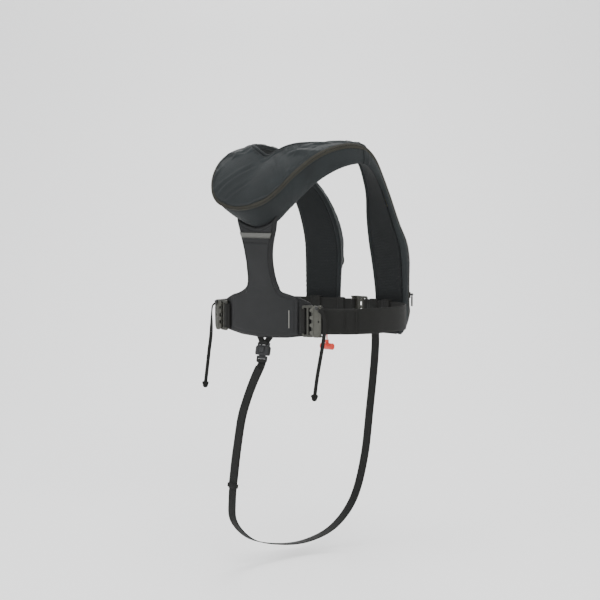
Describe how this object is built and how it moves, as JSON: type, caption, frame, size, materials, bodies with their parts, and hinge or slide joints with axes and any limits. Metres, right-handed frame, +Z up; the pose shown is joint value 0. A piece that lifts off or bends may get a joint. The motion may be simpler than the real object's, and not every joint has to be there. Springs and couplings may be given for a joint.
{
  "type": "inflatable life jacket",
  "caption": "Worn-shape inflatable life jacket: padded collar and front lobes over a folded bladder, back panel, waist belt with hook buckles and a crotch strap.",
  "frame": {"origin": "middle of the neck opening, 4 mm below the back of the neck edge", "axes": "+Z up, the wearer's front faces -Y, the wearer's left is +X"},
  "size_m": [0.4068, 0.3986, 0.8018],
  "materials": {
    "collar_cover": "matte woven laminate",
    "left_lobe_cover": "matte woven laminate",
    "right_lobe_cover": "matte woven laminate",
    "collar_side_wall": "matte woven laminate",
    "left_lobe_side_wall": "matte woven laminate",
    "right_lobe_side_wall": "matte woven laminate",
    "collar_lining": "soft knitted mesh",
    "left_lobe_lining": "soft knitted mesh",
    "right_lobe_lining": "soft knitted mesh",
    "burst_zip": "coil zip",
    "neck_binding": "woven binding",
    "bladder": "coated yellow cloth",
    "spine_panel": "laminated cloth over foam",
    "spine_band": "reflective film",
    "lumbar_pad": "foam in knitted cloth",
    "lumbar_cover": "bonded laminate",
    "lumbar_tick": "printed line",
    "left_frame": "dark coated",
    "right_frame": "dark coated",
    "left_frame_loop": "woven webbing",
    "right_frame_loop": "woven webbing",
    "left_hook_plate": "hard anodised, bead blasted",
    "right_hook_plate": "hard anodised, bead blasted",
    "left_belt": "woven webbing",
    "right_belt": "woven webbing",
    "left_release_cord": "woven webbing",
    "right_release_cord": "woven webbing",
    "left_cord_knot": "woven webbing",
    "right_cord_knot": "woven webbing",
    "front_frame": "dark coated",
    "front_hook_plate": "hard anodised, bead blasted",
    "left_belt_keeper": "woven webbing",
    "right_belt_keeper": "woven webbing",
    "tether_ring": "polished",
    "tether_ring_strap": "woven webbing",
    "crotch_anchor": "woven webbing",
    "crotch_buckle_body": "moulded",
    "crotch_buckle_tongue": "moulded",
    "crotch_buckle_button": "moulded",
    "crotch_strap": "woven webbing",
    "crotch_strap_tail": "woven webbing",
    "crotch_tail_keeper": "woven webbing",
    "left_zip_slider": "black coated",
    "left_zip_pull": "black coated",
    "right_zip_slider": "black coated",
    "right_zip_pull": "black coated",
    "inflator_body": "moulded",
    "gas_cylinder": "zinc plated",
    "firing_lever": "moulded",
    "inflation_handle": "moulded",
    "handle_cord": "braided cord",
    "status_window_bezel": "moulded",
    "status_window_lens": "clear",
    "oral_tube": "moulded",
    "oral_valve": "moulded",
    "oral_cap": "moulded",
    "whistle": "moulded",
    "rescue_light": "moulded",
    "light_lens": "clear"
  },
  "bodies": {
    "harness": {"collar_cover": "collar_cover", "left_lobe_cover": "left_lobe_cover", "right_lobe_cover": "right_lobe_cover", "collar_side_wall": "collar_side_wall", "left_lobe_side_wall": "left_lobe_side_wall", "right_lobe_side_wall": "right_lobe_side_wall", "collar_lining": "collar_lining", "left_lobe_lining": "left_lobe_lining", "right_lobe_lining": "right_lobe_lining", "burst_zip": "burst_zip", "neck_binding": "neck_binding", "bladder": "bladder", "spine_panel": "spine_panel", "spine_band": "spine_band", "lumbar_pad": "lumbar_pad", "lumbar_cover": "lumbar_cover", "lumbar_tick": "lumbar_tick", "left_frame": "left_frame", "right_frame": "right_frame", "left_frame_loop": "left_frame_loop", "right_frame_loop": "right_frame_loop", "left_belt": "left_belt", "right_belt": "right_belt", "front_frame": "front_frame", "left_belt_keeper": "left_belt_keeper", "right_belt_keeper": "right_belt_keeper", "tether_ring_strap": "tether_ring_strap", "crotch_anchor": "crotch_anchor", "crotch_buckle_body": "crotch_buckle_body", "crotch_buckle_tongue": "crotch_buckle_tongue", "crotch_strap": "crotch_strap", "crotch_strap_tail": "crotch_strap_tail", "crotch_tail_keeper": "crotch_tail_keeper", "inflator_body": "inflator_body", "status_window_bezel": "status_window_bezel", "status_window_lens": "status_window_lens", "oral_tube": "oral_tube", "whistle": "whistle", "rescue_light": "rescue_light", "light_lens": "light_lens"},
    "left_hook": {"left_hook_plate": "left_hook_plate", "left_release_cord": "left_release_cord", "left_cord_knot": "left_cord_knot"},
    "right_hook": {"right_hook_plate": "right_hook_plate", "right_release_cord": "right_release_cord", "right_cord_knot": "right_cord_knot"},
    "front_hook": {"front_hook_plate": "front_hook_plate"},
    "ring": {"tether_ring": "tether_ring"},
    "buckle_button": {"crotch_buckle_button": "crotch_buckle_button"},
    "left_slider": {"left_zip_slider": "left_zip_slider"},
    "left_pull": {"left_zip_pull": "left_zip_pull"},
    "right_slider": {"right_zip_slider": "right_zip_slider"},
    "right_pull": {"right_zip_pull": "right_zip_pull"},
    "handle": {"inflation_handle": "inflation_handle", "handle_cord": "handle_cord"},
    "lever": {"firing_lever": "firing_lever"},
    "cylinder": {"gas_cylinder": "gas_cylinder"},
    "cap": {"oral_cap": "oral_cap"},
    "valve": {"oral_valve": "oral_valve"}
  },
  "joints": [
    {"name": "left_hook_tilt", "type": "hinge", "parent": "harness", "child": "left_hook", "pos_m": [0.13403, 0.12123, -0.308], "axis": [0, 0, -1], "range_deg": [0, 38]},
    {"name": "right_hook_tilt", "type": "hinge", "parent": "harness", "child": "right_hook", "pos_m": [-0.13403, 0.12123, -0.308], "axis": [0, 0, 1], "range_deg": [0, 38]},
    {"name": "front_hook_tilt", "type": "hinge", "parent": "harness", "child": "front_hook", "pos_m": [0.005, -0.13925, -0.308], "axis": [0, 0, 1], "range_deg": [0, 38]},
    {"name": "tether_ring_swing", "type": "hinge", "parent": "harness", "child": "ring", "pos_m": [0.03129, -0.14035, -0.308], "axis": [-0.9994, -0.0336, 0], "range_deg": [0, 100]},
    {"name": "crotch_button_press", "type": "slide", "parent": "harness", "child": "buckle_button", "axis": [0, -0.9781, -0.2079], "range_m": [0, 0.0011], "stiffness_N_per_m": 400, "springref_m": -0.002},
    {"name": "left_zip_slide", "type": "slide", "parent": "harness", "child": "left_slider", "axis": [0, 0, 1], "range_m": [0, 0.055]},
    {"name": "left_pull_swing", "type": "hinge", "parent": "left_slider", "child": "left_pull", "pos_m": [0.13129, -0.16278, -0.271], "axis": [-0.788, -0.6157, 0], "range_deg": [0, 80]},
    {"name": "right_zip_slide", "type": "slide", "parent": "harness", "child": "right_slider", "axis": [0, 0, 1], "range_m": [0, 0.055]},
    {"name": "right_pull_swing", "type": "hinge", "parent": "right_slider", "child": "right_pull", "pos_m": [-0.13129, -0.16278, -0.271], "axis": [-0.788, 0.6157, 0], "range_deg": [0, 80]},
    {"name": "handle_pull", "type": "slide", "parent": "harness", "child": "handle", "axis": [0, 0, -1], "range_m": [0, 0.0168]},
    {"name": "lever_turn", "type": "hinge", "parent": "harness", "child": "lever", "pos_m": [0.093, -0.16966, -0.24747], "axis": [0, 0.9925, -0.1219], "range_deg": [0, 50]},
    {"name": "cylinder_turn", "type": "hinge", "parent": "harness", "child": "cylinder", "pos_m": [0.084, -0.164, -0.226], "axis": [0, 0.1219, 0.9925], "continuous": true},
    {"name": "oral_cap_pull", "type": "slide", "parent": "harness", "child": "cap", "axis": [0, 0.1392, 0.9903], "range_m": [0, 0.014]},
    {"name": "oral_valve_press", "type": "slide", "parent": "harness", "child": "valve", "axis": [0, -0.1392, -0.9903], "range_m": [0, 0.003], "stiffness_N_per_m": 200, "springref_m": -0.003}
  ],
  "couplings": [
    {"joint": "lever_turn", "follows": "handle_pull", "rad_per_m": 51.9}
  ]
}
